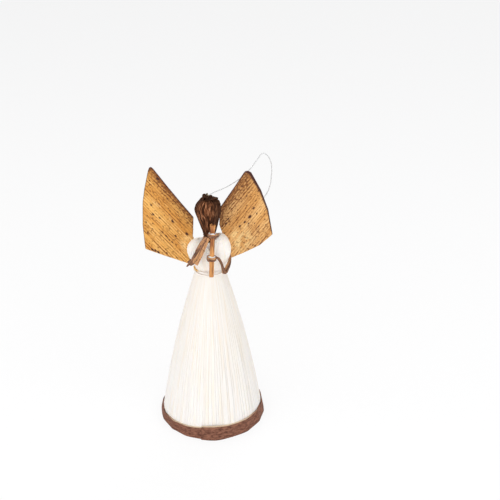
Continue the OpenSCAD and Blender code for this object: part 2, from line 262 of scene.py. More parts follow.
def rough(x, y, z, grain):
    """Smooth noise from -1 to 1, with features about grain millimetres wide."""
    return noise.noise(Vector((x, y, z)) / grain)


def around(angle, radius, z):
    """Point at an angle about the upright axis."""
    return Vector((radius * cos(angle), radius * sin(angle), z))


def flank(z):
    """Outer radius of the raffia at a height, an arc through the hem and the waist."""
    chord = hypot(HEM_R - WAIST_R, WAIST_Z)
    radius = (chord * chord / 4 + SKIRT_SWELL ** 2) / (2 * SKIRT_SWELL)
    inward = (radius - SKIRT_SWELL) / chord
    centre_r = (HEM_R + WAIST_R) / 2 - inward * WAIST_Z
    centre_z = WAIST_Z / 2 - inward * (HEM_R - WAIST_R)
    return centre_r + sqrt(radius ** 2 - (z - centre_z) ** 2)


def skirt_surface(angle, v, out):
    """Point on the skirt, from the hem to the top of the gathered collar."""
    z = SKIRT_FOOT + (COLLAR_TOP - SKIRT_FOOT) * v
    pinch = PINCH_DEPTH * exp(-((z - PINCH_Z) / PINCH_SPREAD) ** 2)
    collar = smooth_step(WAIST_Z, WAIST_Z + COLLAR_BEND_H, z)
    radius = flank(min(z, WAIST_Z)) * (1 - collar) + COLLAR_R * collar - pinch + out
    return around(angle, radius, z)


def puff_surface(side, reach, height):
    """Surface of one puff: turn runs from its front to its back, v from the collar to its summit."""
    middle = Vector((side * PUFF_SUMMIT, 0, COLLAR_TOP + height / 2))

    def surface(turn, v, out):
        rise = (v - PUFF_TUCK) / (1 - PUFF_TUCK)
        up = height * (1 - (1 - max(0, rise)) ** 1.5) + min(0, rise) * PUFF_TUCK_FALL
        swell = sin(max(0, min(pi / 2, pi / 2 * up / PUFF_FULL_AT)))
        high = max(0, (up - PUFF_FULL_AT) / (height - PUFF_FULL_AT))
        dome = sqrt(max(0, 1 - high * high))
        inner = PUFF_SUMMIT * high ** 3
        if high > 0:
            outer = PUFF_SUMMIT + (reach - PUFF_SUMMIT) * dome
            depth = PUFF_DEPTH * dome
        else:
            outer = COLLAR_R + (reach - COLLAR_R) * swell
            depth = PUFF_FOOT_DEPTH + (PUFF_DEPTH - PUFF_FOOT_DEPTH) * swell
        crease = 1 - PUFF_CREASE * (1 - cos(turn)) ** 2
        point = Vector((
            side * (PUFF_GAP + inner + (outer - inner) * cos(turn)),
            depth * sin(turn) * crease,
            COLLAR_TOP + PUFF_GAP + up))
        return point + (point - middle).normalized() * out * (0.35 + 0.65 * dome)

    return surface


# Profile of the bark over the head, as radius and height above the neck
HEAD_PROFILE = tuple(Vector((r, 0, z)) for r, z in (
    (NECK_R, 0), (2.3, 1.6), (2.7, 3.4), (3.4, 6), (4.2, 9), (4.95, 11.4), (5.4, 13.4), (5.45, 15),
    (5.1, 16.7), (4.3, 18), (2.9, 18.8), (1.3, 19.1), (0.05, 19.2),
))


def head_surface(angle, v, out):
    """Point on the bark over the head, which leans to the left and slopes off there to the crown."""
    at = smooth_point(HEAD_PROFILE, v)
    along = direction(HEAD_PROFILE, v)
    at = at + Vector((along.z, 0, -along.x)) * out
    lean = HEAD_LEAN * smooth_step(0.1, 0.6, v)
    slope = HEAD_SLOPE * smooth_step(0.5, 0.85, v) * max(0, -cos(angle + 0.2)) ** 2
    radius = at.x * (1 - slope)
    return Vector((radius * cos(angle) + lean, radius * sin(angle), NECK_Z + at.z))


def pipe_axes():
    """Two directions across the pipe, the first towards the right, and the one along it."""
    along = (PIPE_TOP - PIPE_FOOT).normalized()
    right = (Vector((1, 0, 0)) - along * along.x).normalized()
    return right, along.cross(right), along


def about_pipe(angle, radius, up):
    """Point about the pipe's axis, at a distance up from its foot."""
    right, back, along = pipe_axes()
    return PIPE_FOOT + along * up + radius * (right * cos(angle) + back * sin(angle))


# Mesh building


def new_mesh():
    """An empty mesh with layers for fibre coordinates and painted marks."""
    bm = bmesh.new()
    bm.loops.layers.uv.new(FIBRE)
    bm.verts.layers.float_color.new(MARKS)
    return bm


def unmarked(u, v):
    """Marks of a sheet that has none, as red, green and blue."""
    return 0, 0, 0


def fibres(half_width, length, across=0.0, along=0.0):
    """Fibre coordinates of a sheet, in metres, from its size in millimetres and a shift in metres."""
    return lambda u, v: (u * half_width * MM + across, v * length * MM + along)


def ribbon(bm, across, along, place, fibre, mark=unmarked):
    """Adds a sheet of across by along faces, with u from -1 to 1 across it and v from 0 to 1 along it."""
    uv = bm.loops.layers.uv[FIBRE]
    marks = bm.verts.layers.float_color[MARKS]
    points = bmesh.ops.create_grid(bm, x_segments=across, y_segments=along, size=1)["verts"]
    spot = {p: (p.co.x, (p.co.y + 1) / 2) for p in points}
    for face in {f for p in points for f in p.link_faces}:
        for corner in face.loops:
            corner[uv].uv = fibre(*spot[corner.vert])
    for p in points:
        p.co = place(*spot[p]) * MM
        p[marks] = (*mark(*spot[p]), 1)
    return points


def weld(bm, points):
    """Closes the seams and poles of a sheet that meets itself."""
    bmesh.ops.remove_doubles(bm, verts=points, dist=1e-7)


def tube(bm, sides, steps, path, radius, mark=unmarked):
    """Adds a strand along path(v), a point with two directions across it, closed where it meets itself."""
    def place(u, v):
        centre, first, second = path(v)
        turn = pi * (u + 1)
        return centre + radius(turn, v) * (first * cos(turn) + second * sin(turn))

    length = sum(runs([path(i / steps)[0] for i in range(steps + 1)]))
    half_girth = pi * radius(0.3, 0.5)
    weld(bm, ribbon(bm, sides, steps, place, fibres(half_girth, length), mark))
    bmesh.ops.recalc_face_normals(bm, faces=bm.faces)


def across_path(curve):
    """A path with directions across it, from a function of the share along it."""
    def path(v):
        along = heading(curve, v, 0.002)
        first = along.cross(UP).normalized()
        return curve(v), first, first.cross(along)

    return path


def lapped_strips(
        bm, seed, count, span, surface, *, across, along, lap, crown, overlap, sway, ragged=0.0,
        mark=unmarked):
    """Lays strips side by side on a surface between two angles, each with one edge over its neighbour."""
    rng = random.Random(seed)
    step = (span[1] - span[0]) / count
    for i in range(count):
        middle = span[0] + step * (i + 0.5 + 0.25 * (rng.random() - 0.5))
        half = step / 2 * overlap * (0.85 + 0.45 * rng.random())
        tilt = lap * (0.6 + 0.8 * rng.random())
        arch = crown * (0.5 + rng.random())
        noise_at = 40 * rng.random()
        end = 1 - ragged * rng.random()
        shift = rng.random()

        def place(u, v):
            wave = rough(noise_at, u * 0.6, v * 5, 1) * crown
            turn = middle + u * half + sway * rough(noise_at, 7, v * 3, 1)
            return surface(turn, v * end, tilt * u / 2 + arch * (1 - u * u) + wave)

        def painted(u, v):
            return mark(middle + u * half, v)

        half_width = (surface(middle + half, 0.4, 0) - surface(middle - half, 0.4, 0)).length / 2
        length = sum(runs([surface(middle, k / 8, 0) for k in range(9)]))
        ribbon(bm, across, along, place, fibres(half_width, length, shift, shift * 0.7), painted)


def add_object(context, name, data):
    """Puts an object into the scene."""
    made = bpy.data.objects.new(name, data)
    context.scene.collection.objects.link(made)
    return made


def add_mesh(context, name, bm, finishes):
    """Puts a mesh with its finishes into the scene."""
    mesh = bpy.data.meshes.new(name)
    bm.to_mesh(mesh)
    bm.free()
    for finish in finishes:
        mesh.materials.append(finish_of(context, finish))
    return add_object(context, name, mesh)


def add_piece(
        context, name, bm, node, slot, finishes=(), thickness=0.0, offset=-1.0, body="angel", rim=0,
        levels=0):
    """Makes a piece, which rides on a body and stands for a solid, in its slot's finish or in others."""
    piece = add_mesh(context, name, bm, finishes or (slot,))
    for face in piece.data.polygons:
        face.use_smooth = True
    if thickness:
        solidify = piece.modifiers.new("thickness", "SOLIDIFY")
        solidify.thickness = thickness
        solidify.offset = offset
        solidify.material_offset_rim = rim
    if levels:
        subdivision = piece.modifiers.new("smooth", "SUBSURF")
        subdivision.levels = levels
        subdivision.render_levels = levels
    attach(piece, body)
    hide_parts(node)
    return piece


# Finishes


class Nodes:
    """Adds nodes to a tree and sets or links their sockets."""

    def __init__(self, tree):
        self.tree = tree

    def fill(self, node, inputs):
        """Sets a node's sockets to values, or links them to other nodes' sockets."""
        for key, value in inputs.items():
            socket = node.inputs[key if isinstance(key, int) else key.replace("_", " ")]
            if isinstance(value, bpy.types.NodeSocket):
                self.tree.links.new(value, socket)
            elif socket.type == "RGBA" and len(value) == 3:
                socket.default_value = (*value, 1)
            else:
                socket.default_value = value

    def add(self, kind, inputs=None, **settings):
        """Adds a node."""
        node = self.tree.nodes.new("ShaderNode" + kind)
        for key, value in settings.items():
            setattr(node, key, value)
        self.fill(node, inputs or {})
        return node

    def reckon(self, operation, first, second=0.0):
        """The outcome of an operation on one or two numbers."""
        return self.add("Math", {0: first, 1: second}, operation=operation).outputs["Value"]

    def times(self, first, second):
        """Two numbers multiplied."""
        return self.reckon("MULTIPLY", first, second)

    def seen(self):
        """1 for rays from the camera, or through gloss and glass, and 0 for light that is sent on."""
        rays = self.add("LightPath").outputs
        mirrored = self.reckon("MAXIMUM", rays["Is Glossy Ray"], rays["Is Transmission Ray"])
        return self.reckon("MAXIMUM", rays["Is Camera Ray"], mirrored)


class Finish(Nodes):
    """Builds one material, with layers of colour painted over a base."""

    def __init__(self, name, base, **inputs):
        self.material = bpy.data.materials.new("angel_" + name)
        self.material.use_nodes = True
        super().__init__(self.material.node_tree)
        self.surface = self.tree.nodes["Principled BSDF"]
        self.fill(self.surface, inputs)
        self.shade = base

    def along_fibres(self, across, along, start):
        """Place on the fibres, with so many units across and along a metre."""
        at = self.add("UVMap", uv_map=FIBRE).outputs["UV"]
        inputs = {"Vector": at, "Location": (start, start, 0), "Scale": (across, along, 1)}
        return self.add("Mapping", inputs).outputs["Vector"]

    def fibre(self, across, along, detail=4.0, start=0.0):
        """Noise in streaks, with so many across and along a metre."""
        inputs = {"Vector": self.along_fibres(across, along, start), "Scale": 1.0, "Detail": detail}
        return self.add("TexNoise", inputs, noise_dimensions="2D").outputs["Fac"]

    def spots(self, across, along, fade, share, strength, start=0.0):
        """A share of scattered spots with soft rims, from so many across and along a metre."""
        inputs = {"Vector": self.along_fibres(across, along, start), "Scale": 1.0}
        cells = self.add("TexVoronoi", inputs, voronoi_dimensions="2D").outputs
        pick = self.add("SeparateColor", {"Color": cells["Color"]}).outputs["Red"]
        near = self.between(cells["Distance"], *fade, 1.0, 0.0)
        return self.times(near, self.between(pick, *share, strength, 0.0))

    def veins(self, spacing, wander):
        """Waves from -1 to 1 across the fibres, spaced unevenly by so many radians."""
        at = self.add("UVMap", uv_map=FIBRE).outputs["UV"]
        across = self.add("SeparateXYZ", {"Vector": at}).outputs["X"]
        uneven = self.times(self.fibre(300, 8, 1.0, 0.4), wander)
        return self.reckon("SINE", self.reckon("ADD", self.times(across, TURN / spacing), uneven))

    def cloud(self, scale, detail=3.0):
        """Noise in patches, by the piece's own place."""
        at = self.add("TexCoord").outputs["Object"]
        return self.add("TexNoise", {"Vector": at, "Scale": scale, "Detail": detail}).outputs["Fac"]

    def mark(self, channel):
        """One channel of the marks painted on the points."""
        painted = self.add("Attribute", attribute_name=MARKS)
        return self.add("SeparateColor", {"Color": painted.outputs["Color"]}).outputs[channel]

    def between(self, value, low, high, start=0.0, end=1.0):
        """The value's share between low and high, as a number from start to end."""
        inputs = {"Value": value, "From Min": low, "From Max": high, "To Min": start, "To Max": end}
        return self.add("MapRange", inputs, interpolation_type="SMOOTHSTEP").outputs["Result"]

    def paint(self, share, tint):
        """Lays a share of a colour over the layers below."""
        mix = self.add("Mix", {0: share, 6: self.shade, 7: tint}, data_type="RGBA")
        self.shade = mix.outputs[2]

    def finish(self, roughness, height=None, strength=0.0, depth=0.0):
        """Links the colour, the roughness and the bump to the surface."""
        self.fill(self.surface, {"Base Color": self.shade, "Roughness": roughness})
        if height:
            bump = self.add("Bump", {"Height": height, "Strength": strength, "Distance": depth})
            self.fill(self.surface, {"Normal": bump.outputs["Normal"]})
        return self.material

    def mottle(self, texture, tint, strength, depth, smooth, matt):
        """Paints a colour by a texture, which also gives the bump and the roughness."""
        self.paint(self.between(texture, 0.3, 0.7), tint)
        return self.finish(self.between(texture, 0.3, 0.7, smooth, matt), texture, strength, depth)


def dim(tint, share):
    """A colour made darker by a share, or lighter by one above 1."""
    return tuple(share * c for c in tint)


def raffia_finish(colours):
    """Bleached raffia: fine fibres along each strip, with warm broken streaks."""
    f = Finish(
        "raffia", dim(colours.raffia, 0.95), Specular_IOR_Level=0.3, Subsurface_Weight=0.1,
        Subsurface_Scale=0.0003, Subsurface_Radius=(1, 0.5, 0.25))
    fine = f.fibre(5000, 50)
    broad = f.fibre(600, 40, start=0.3)
    streak = f.times(f.between(broad, 0.48, 0.7), f.between(fine, 0.3, 0.7, 0.3, 1.0))
    f.paint(f.between(fine, 0.25, 0.75), colours.raffia)
    # Painted light: the bodice's raffia, marked green, is lightened
    f.paint(f.mark("Green"), colours.raffia_painted_light)
    f.paint(f.times(streak, 0.4), colours.raffia_streak_and_painted_shade)
    # Warm tint where marked red: a tone of the skirt's raffia, and warm painted shade at the waist, in the
    # bodice's creases and towards the puffs' summits
    f.paint(f.times(f.mark("Red"), f.between(broad, 0.3, 0.6, 0.5, 1.0)), colours.raffia_streak_and_painted_shade)
    return f.finish(f.between(fine, 0.2, 0.8, 0.5, 0.7), fine, 0.25, 0.0001)


def bark_finish(colours):
    """Dark fibrous bark with paler fibres and worn ridges."""
    f = Finish("bark", dim(colours.bark, 0.25), Specular_IOR_Level=0.1)
    fine = f.fibre(3600, 300, 5.0)
    patch = f.fibre(900, 240, start=0.6)
    pale = f.times(f.between(fine, 0.46, 0.66), f.between(patch, 0.42, 0.62))
    f.paint(f.between(patch, 0.35, 0.6), colours.bark)
    f.paint(pale, colours.bark_pale)
    # Darker where marked red: at the crown and the neck, and painted shade round the head's sides
    f.paint(f.times(f.mark("Red"), 0.88), dim(colours.bark, 0.15))
    return f.finish(f.between(fine, 0.3, 0.7, 0.62, 0.85), fine, 0.8, 0.0003)


def band_finish(colours):
    """Bark band with red-brown mottling and a paler cut edge at its top."""
    f = Finish("bark_band", dim(colours.band, 0.45), Specular_IOR_Level=0.15)
    fine = f.fibre(1000, 2800)
    patch = f.fibre(420, 1300, 5.0, 0.2)
    f.paint(f.between(fine, 0.35, 0.6), colours.band)
    f.paint(f.between(patch, 0.3, 0.72, 0.0, 0.65), colours.band_pale)
    f.paint(f.times(f.mark("Red"), 0.8), colours.raffia_streak_and_painted_shade)
    return f.finish(f.between(patch, 0.3, 0.7, 0.55, 0.75), fine, 0.6, 0.0003)


def leaf_finish(colours, name, leaf, pale):
    """Leaf of a wing: fine veins, dark specks along them, dark upper edges, and pale painted highlights on
    the creases at the root and along a ridge.
    """
    f = Finish(name, leaf, Specular_IOR_Level=0.2)
    brown = tuple(share * c for share, c in zip((0.34, 0.23, 0.24), leaf))
    edge = f.mark("Red")
    # Blue marks the painted highlights on the creases at the root and along a ridge
    creased = f.mark("Blue")
    calm = f.between(creased, 0.1, 0.8, 1.0, 0.2)
    grain = f.fibre(2600, 60, 2.0)
    wave = f.veins(0.0011, 7)

    f.paint(f.between(f.fibre(170, 60, 3.0, 0.7), 0.25, 0.75, 0.15, 0.85), pale)
    # Painted sheen: pale crumpled highlights on the creases at the root and along a ridge
    crumple = f.between(f.fibre(420, 260, 3.0, 0.5), 0.42, 0.58, 0.1, 0.85)
    f.paint(f.times(f.between(creased, 0.1, 0.9), crumple), colours.leaf_dry_and_painted_sheen)
    bleached = f.between(f.fibre(260, 110, 3.0, 0.8), 0.45, 0.65, 0.0, 0.42)
    f.paint(f.times(f.between(wave, -0.4, -0.95), bleached), colours.leaf_dry_and_painted_sheen)

    broken = f.between(f.fibre(500, 130, 3.0, 0.2), 0.42, 0.6, 0.15, 0.95)
    vein = f.times(f.times(f.between(wave, 0.3, 0.95), broken), calm)
    vein = f.times(vein, f.between(edge, 0.0, 0.12, 0.5, 1.0))
    f.paint(vein, brown)
    strokes = f.spots(1900, 260, (0.1, 0.36), (0.2, 0.4), 0.75, 0.35)
    f.paint(f.times(strokes, calm), brown)
    f.paint(f.between(grain, 0.5, 0.72, 0.0, 0.3), brown)

    f.paint(f.times(edge, 0.58), brown)
    blotch = f.reckon("ADD", f.fibre(1500, 800, 3.0, 0.1), f.times(edge, 0.2))
    f.paint(f.between(blotch, 0.6, 0.75, 0.0, 0.8), dim(brown, 0.6))
    dots = f.spots(1150, 680, (0.15, 0.4), (0.0, 0.08), 0.85)
    f.paint(f.reckon("MAXIMUM", dots, f.mark("Green")), colours.leaf_dark)
    height = f.reckon("SUBTRACT", grain, vein)
    return f.finish(f.between(grain, 0.3, 0.7, 0.5, 0.68), height, 0.4, 0.0002)


def cut_edge_finish(colours):
    """Dark edge where the leaf is cut."""
    f = Finish("leaf_edge", colours.leaf_dark, Specular_IOR_Level=0.25)
    layers = f.cloud(2600, 5.0)
    f.paint(f.between(layers, 0.35, 0.65), dim(colours.leaf_dark, 2.4))
    return f.finish(f.between(layers, 0.3, 0.7, 0.6, 0.8), layers, 0.5, 0.0002)


def arm_finish(colours):
    """Leaf strip, brown along one half and tan along the other, with dark specks."""
    f = Finish("arm_leaf", colours.arm, Specular_IOR_Level=0.35)
    fine = f.fibre(2400, 320, 3.0)
    broad = f.between(f.fibre(900, 110, start=0.5), 0.3, 0.7, -0.35, 0.35)
    f.paint(f.between(f.reckon("ADD", f.mark("Red"), broad), 0.35, 0.65), colours.arm_pale)
    f.paint(f.between(fine, 0.5, 0.68, 0.0, 0.7), dim(colours.arm, 0.35))
    f.paint(f.between(fine, 0.48, 0.3, 0.0, 0.45), colours.arm_pale)
    f.paint(f.spots(1500, 700, (0.14, 0.3), (0.3, 0.4), 0.85), colours.leaf_dark)
    return f.finish(f.between(fine, 0.3, 0.7, 0.5, 0.7), fine, 0.6, 0.00025)


def pipe_finish(colours):
    """Tan leaf rolled lengthwise, with streaks along the pipe."""
    f = Finish("pipe_leaf", colours.pipe, Specular_IOR_Level=0.35)
    fine = f.fibre(2200, 130, 3.0)
    broad = f.between(f.fibre(900, 90, 3.0, 0.55), 0.35, 0.65, -0.5, 0.4)
    f.paint(f.between(f.reckon("ADD", broad, f.mark("Red")), 0.0, 1.0), colours.pipe_pale)
    f.paint(f.between(fine, 0.5, 0.68, 0.0, 0.7), dim(colours.pipe, 0.4))
    return f.finish(f.between(fine, 0.3, 0.7, 0.45, 0.65), fine, 0.5, 0.0002)


def straw_finish(colours):
    """Strand of straw, golden or browned where it is marked and bleached elsewhere."""
    f = Finish("straw", colours.raffia, Specular_IOR_Level=0.35)
    fine = f.fibre(5200, 160)
    f.paint(f.mark("Red"), colours.straw)
    f.paint(f.mark("Green"), colours.bark_pale)
    f.paint(f.between(fine, 0.5, 0.75, 0.0, 0.45), colours.raffia_streak_and_painted_shade)
    return f.finish(f.between(fine, 0.3, 0.7, 0.5, 0.7), fine, 0.5, 0.0002)


def glue_finish(colours):
    """Milky dried glue."""
    f = Finish(
        "glue", dim(colours.glue, 0.85), Subsurface_Weight=0.3, Subsurface_Scale=0.0008,
        Coat_Weight=0.3, Coat_Roughness=0.2)
    return f.mottle(f.cloud(1800), colours.glue, 0.3, 0.0002, 0.25, 0.45)


def nylon_finish(name, tint, clear):
    """Drawn nylon, clearer or yellowed."""
    f = Finish(name, dim(tint, 0.8), Transmission_Weight=clear, IOR=1.5, Specular_IOR_Level=0.5)
    return f.mottle(f.fibre(3000, 400, 2.0), tint, 0.1, 0.0001, 0.12, 0.28)


def card_finish(colours):
    """Card of the hidden pieces."""
    f = Finish("card", dim(colours.card, 0.75), Specular_IOR_Level=0.3)
    return f.mottle(f.cloud(900, 5.0), colours.card, 0.3, 0.0003, 0.65, 0.85)


def floor_finish(colours):
    """Pale floor that is close to white where it is seen, and keeps the object's shadow."""
    f = Finish("floor", dim(colours.floor, 0.985), Specular_IOR_Level=0.2)
    grain = f.cloud(300)
    f.paint(f.between(grain, 0.3, 0.7), colours.floor)
    f.finish(f.between(grain, 0.3, 0.7, 0.75, 0.85))
    # Painted light: where it is seen the floor glows, and its glow changes with the distance back
    place = f.add("SeparateXYZ", {"Vector": f.add("TexCoord").outputs["Object"]})
    near = f.between(place.outputs["Y"], -0.1, 0.6, 1.01, 0.895)
    far = f.between(place.outputs["Y"], 0.7, 2.2, 0.0, 0.1)
    white = f.add("Emission", {"Color": (1, 1, 1), "Strength": f.reckon("ADD", near, far)})
    mixed = f.add("MixShader", {0: f.times(f.seen(), 0.8), 1: f.surface.outputs[0], 2: white.outputs[0]})
    f.fill(f.tree.nodes["Material Output"], {"Surface": mixed.outputs[0]})
    return f.material


FINISHES = {
    "raffia": raffia_finish,
    "bark": bark_finish,
    "bark_band": band_finish,
    "golden_leaf": lambda c: leaf_finish(c, "golden_leaf", c.leaf, c.leaf_pale),
    "tan_leaf": lambda c: leaf_finish(c, "tan_leaf", c.leaf_tan, c.leaf_tan_pale),
    "leaf_edge": cut_edge_finish,
    "arm_leaf": arm_finish,
    "pipe_leaf": pipe_finish,
    "straw": straw_finish,
    "glue": glue_finish,
    "nylon": lambda c: nylon_finish("nylon", c.nylon, 0.65),
    "knot": lambda c: nylon_finish("knot", c.knot, 0.2),
    "card": card_finish,
    "floor": floor_finish,
}


def finish_of(context, name):
    """The material of that name, made once."""
    made = bpy.data.materials.get("angel_" + name)
    return made or FINISHES[name](context.scene.angel_colours)


# Pieces


class ANGEL_OT_stage(bpy.types.Operator):
    """Sets up the camera, the lamps, the pale floor and the light all round"""

    bl_idname = "angel.stage"
    bl_label = "Stage"

    # Lamps: place, width and power, all turned to the middle of the angel
    LAMPS = {
        "key": ((-0.25, -1.05, 0.6), 1.3, 4.8),
        "fill": ((0.75, -0.6, 0.5), 0.9, 3.6),
        "side": ((-0.85, -0.35, 0.5), 0.9, 2.6),
        "back": ((0.2, 0.9, 0.8), 0.9, 3),
    }
    MIDDLE = Vector((0, 0, 0.06))

    def execute(self, context):
        self.add_camera(context)
        self.add_lamps(context)
        self.add_floor(context)
        self.add_world(context)
        context.scene.view_settings.view_transform = "Standard"
        return {"FINISHED"}

    def add_camera(self, context):
        """A long lens from above the front."""
        camera = add_object(context, "camera", bpy.data.cameras.new("camera"))
        camera.location = (0.01652, -0.47578, 0.36798)
        camera.rotation_euler = (radians(58.926), 0, 0)
        camera.data.sensor_width = 36
        camera.data.lens = 97.2
        camera.data.clip_start = 0.01
        context.scene.camera = camera

    def add_lamps(self, context):
        """Broad lamps from four sides."""
        for name, (place, width, power) in self.LAMPS.items():
            lamp = add_object(context, name, bpy.data.lights.new(name, "AREA"))
            lamp.location = place
            lamp.rotation_euler = (self.MIDDLE - lamp.location).to_track_quat("-Z", "Y").to_euler()
            lamp.data.size = width
            lamp.data.energy = power

    def add_floor(self, context):
        """A wide pale floor, which belongs to the stage."""
        bm = bmesh.new()
        bmesh.ops.create_grid(bm, x_segments=8, y_segments=8, size=4)
        floor = add_mesh(context, "floor", bm, ["floor"])

    def add_world(self, context):
        """Soft light from all round, and white where it is seen."""
        world = bpy.data.worlds.new("studio")
        context.scene.world = world
        world.use_nodes = True
        sky = Nodes(world.node_tree)
        soft = sky.tree.nodes["Background"]
        sky.fill(soft, {"Color": (1, 1, 1), "Strength": 0.64})
        white = sky.add("Background", {"Color": (0.97, 0.97, 0.98)})
        mixed = sky.add("MixShader", {0: sky.seen(), 1: soft.outputs[0], 2: white.outputs[0]})
        sky.fill(sky.tree.nodes["World Output"], {"Surface": mixed.outputs[0]})


class ANGEL_OT_thread(bpy.types.Operator):
    """Lays the nylon loop and ties its knot at the crown"""

    bl_idname = "angel.thread"
    bl_label = "Hanging thread"

    # Knot: scale of its turns, radius of its strand, and radius and tips of its clipped ends
    KNOT_SIZE = 0.165
    KNOT_STRAND_R = 0.19
    CLIPPED_R = 0.17
    CLIPPED_TIPS = (Vector((-1.1, -0.3, 0.6)), Vector((-0.5, 0.2, 1.0)))

    def execute(self, context):
        sizes = context.scene.angel_sizes
        run = Vector((cos(LOOP_TURN), sin(LOOP_TURN), 0))
        route = [KNOT_AT + run * along + UP * up for along, up in LOOP_POINTS]
        loop = self.add_loop(context, route, sizes.thread_d / 2)
        knot = self.add_knot(context)
        return {"FINISHED"}

    def add_loop(self, context, route, radius):
        """A round thread that bends smoothly through the points of its route."""
        curve = bpy.data.curves.new("nylon_loop", "CURVE")
        curve.dimensions = "3D"
        curve.resolution_u = 8
        curve.bevel_depth = radius
        curve.bevel_resolution = 3
        curve.use_fill_caps = True
        spline = curve.splines.new("BEZIER")
        spline.bezier_points.add(len(route) - 1)
        for point, at in zip(spline.bezier_points, route):
            point.co = at * MM
            point.handle_left_type = point.handle_right_type = "AUTO"
        curve.materials.append(finish_of(context, "nylon"))
        loop = add_object(context, "nylon_loop", curve)
        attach(loop, "hanging_loop")
        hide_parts("hanging_thread")
        return loop

    def add_knot(self, context):
        """An overhand knot with two clipped ends."""
        bm = new_mesh()

        def turns(v):
            a = TURN * v
            return KNOT_AT + self.KNOT_SIZE * Vector((
                sin(a) + 2 * sin(2 * a), -1.2 * sin(3 * a), cos(a) - 2 * cos(2 * a)))

        def clipped(turn, v):
            return self.CLIPPED_R * sqrt(max(0, 1 - v ** 8))

        tube(bm, 10, 96, across_path(turns), lambda turn, v: self.KNOT_STRAND_R)
        for tip in self.CLIPPED_TIPS:
            ends = (KNOT_AT, KNOT_AT + tip * 0.5, KNOT_AT + tip)
            tube(bm, 8, 6, across_path(lambda v: smooth_point(ends, v)), clipped)
        return add_piece(
            context, "nylon_knot", bm, "thread_knot", "nylon", ["knot"], body="hanging_loop")


class ANGEL_OT_skirt(bpy.types.Operator):
    """Lays the skirt's raffia strips and gathers them at the waist"""

    bl_idname = "angel.skirt"
    bl_label = "Raffia skirt"

    def execute(self, context):
        sizes = context.scene.angel_sizes
        bm = new_mesh()
        lapped_strips(
            bm, 11, sizes.skirt_strips, (0, TURN), skirt_surface, across=4, along=40, lap=0.035,
            crown=0.014, overlap=1.75, sway=0.02, mark=self.tint_and_painted_light)
        add_piece(context, "raffia_strips", bm, "raffia_skirt", "raffia", thickness=sizes.raffia_t)
        return {"FINISHED"}

    def tint_and_painted_light(self, angle, v):
        """Warmer raffia above the hem, with a little warm painted shade at the collar under the bodice."""
        return 0.16 * smooth_step(0.1, 0.6, v) + 0.04 * smooth_step(0.9, 0.98, v), 0, 0


class ANGEL_OT_hem_band(bpy.types.Operator):
    """Wraps the bark band round the hem, with its end lapped at the front"""

    bl_idname = "angel.hem_band"
    bl_label = "Hem band"

    # The band goes a little more than once round, and its start lies over its end at the front
    START = radians(259)
    WRAP = radians(374)
    LAP = (radians(16), radians(34))
    LAP_RISE = 0.85
    KINKS = 13
    KINK_DEPTH = 0.3
    FOOT_FLARE = 0.2

    def execute(self, context):
        sizes = context.scene.angel_sizes
        height = sizes.band_h / MM
        thickness = sizes.band_t / MM
        bm = new_mesh()

        def place(u, v):
            angle = self.angle(u)
            over = 1 - smooth_step(*self.LAP, angle - self.START)
            share = (angle * self.KINKS / TURN + 0.3 * sin(3 * angle + 1)) % 1
            kink = self.KINK_DEPTH * (2 * share - 1) ** 2
            slope = 1.2 * cos(angle) - 1.8 * (1 + sin(angle))
            top = height + slope + self.LAP_RISE * over + 0.16 * rough(angle * HEM_R, 0, 9, 5)
            z = top * v
            out = thickness * (1 + 0.9 * over) + self.FOOT_FLARE * (1 - v) + kink
            return around(angle, flank(z) + out + 0.1 * rough(angle * HEM_R, z, 3, 4), z)

        ribbon(bm, 260, 14, place, fibres(self.WRAP / 2 * HEM_R, height), self.cut_top)
        add_piece(context, "bark_hem", bm, "hem_band", "bark_band", thickness=sizes.band_t)
        return {"FINISHED"}

    def angle(self, u):
        """Angle at a place along the band."""
        return self.START + self.WRAP * (u + 1) / 2

    def cut_top(self, u, v):
        """Marks the paler cut edge along the top of the band's front."""
        front = smooth_step(0.3, 0.85, -sin(self.angle(u)))
        return smooth_step(0.93, 1, v) * front, 0, 0


class ANGEL_OT_ties(bpy.types.Operator):
    """Winds the straw strands round the waist and the neck"""

    bl_idname = "angel.ties"
    bl_label = "Ties"

    # Turns of each strand, the angle of its start, the angles between which it is golden, and its browning
    WAIST = {"turns": 1.4, "start": radians(120), "golden": (9.2, 10.4), "browned": 0}
    NECK = {"turns": 1.5, "start": 0, "golden": (-1, 11), "browned": 0.8}
    PLY_TWISTS = 5

    def execute(self, context):
        sizes = context.scene.angel_sizes
        waist_d = sizes.waist_tie_d / MM
        neck_d = sizes.neck_tie_d / MM
        waist_foot = COLLAR_TOP - self.WAIST["turns"] * (waist_d + TIE_GAP) - waist_d / 2
        waist_r = COLLAR_R + waist_d / 2 + TIE_CLEARANCE
        self.wind(context, "waist_strand", "waist_tie", waist_r, waist_foot, waist_d, **self.WAIST)
        neck_foot = NECK_Z + neck_d / 2
        neck_r = NECK_R + neck_d / 2
        self.wind(context, "neck_strand", "neck_tie", neck_r, neck_foot, neck_d, **self.NECK)
        return {"FINISHED"}

    def wind(self, context, name, node, radius, foot, diameter, turns, start, golden, browned):
        """One strand of two twisted plies, wound upwards."""
        bm = new_mesh()
        climb = turns * (diameter + TIE_GAP)

        def helix(v):
            angle = start + TURN * turns * v
            return around(angle, radius + 0.06 * rough(angle * 3, 0, 1, 1), foot + climb * v)

        def plies(turn, v):
            twist = TURN * turns * v * self.PLY_TWISTS
            end = sqrt(max(0, 1 - (2 * v - 1) ** 40))
            return diameter / 2 * (0.72 + 0.28 * abs(cos(turn - twist))) * end

        def mark(u, v):
            angle = start + TURN * turns * v
            begins = smooth_step(golden[0], golden[0] + 0.4, angle)
            ends = smooth_step(golden[1] - 0.4, golden[1], angle)
            return begins * (1 - ends), browned, 0

        tube(bm, 14, 260, across_path(helix), plies, mark)
        add_piece(context, name, bm, node, "straw")


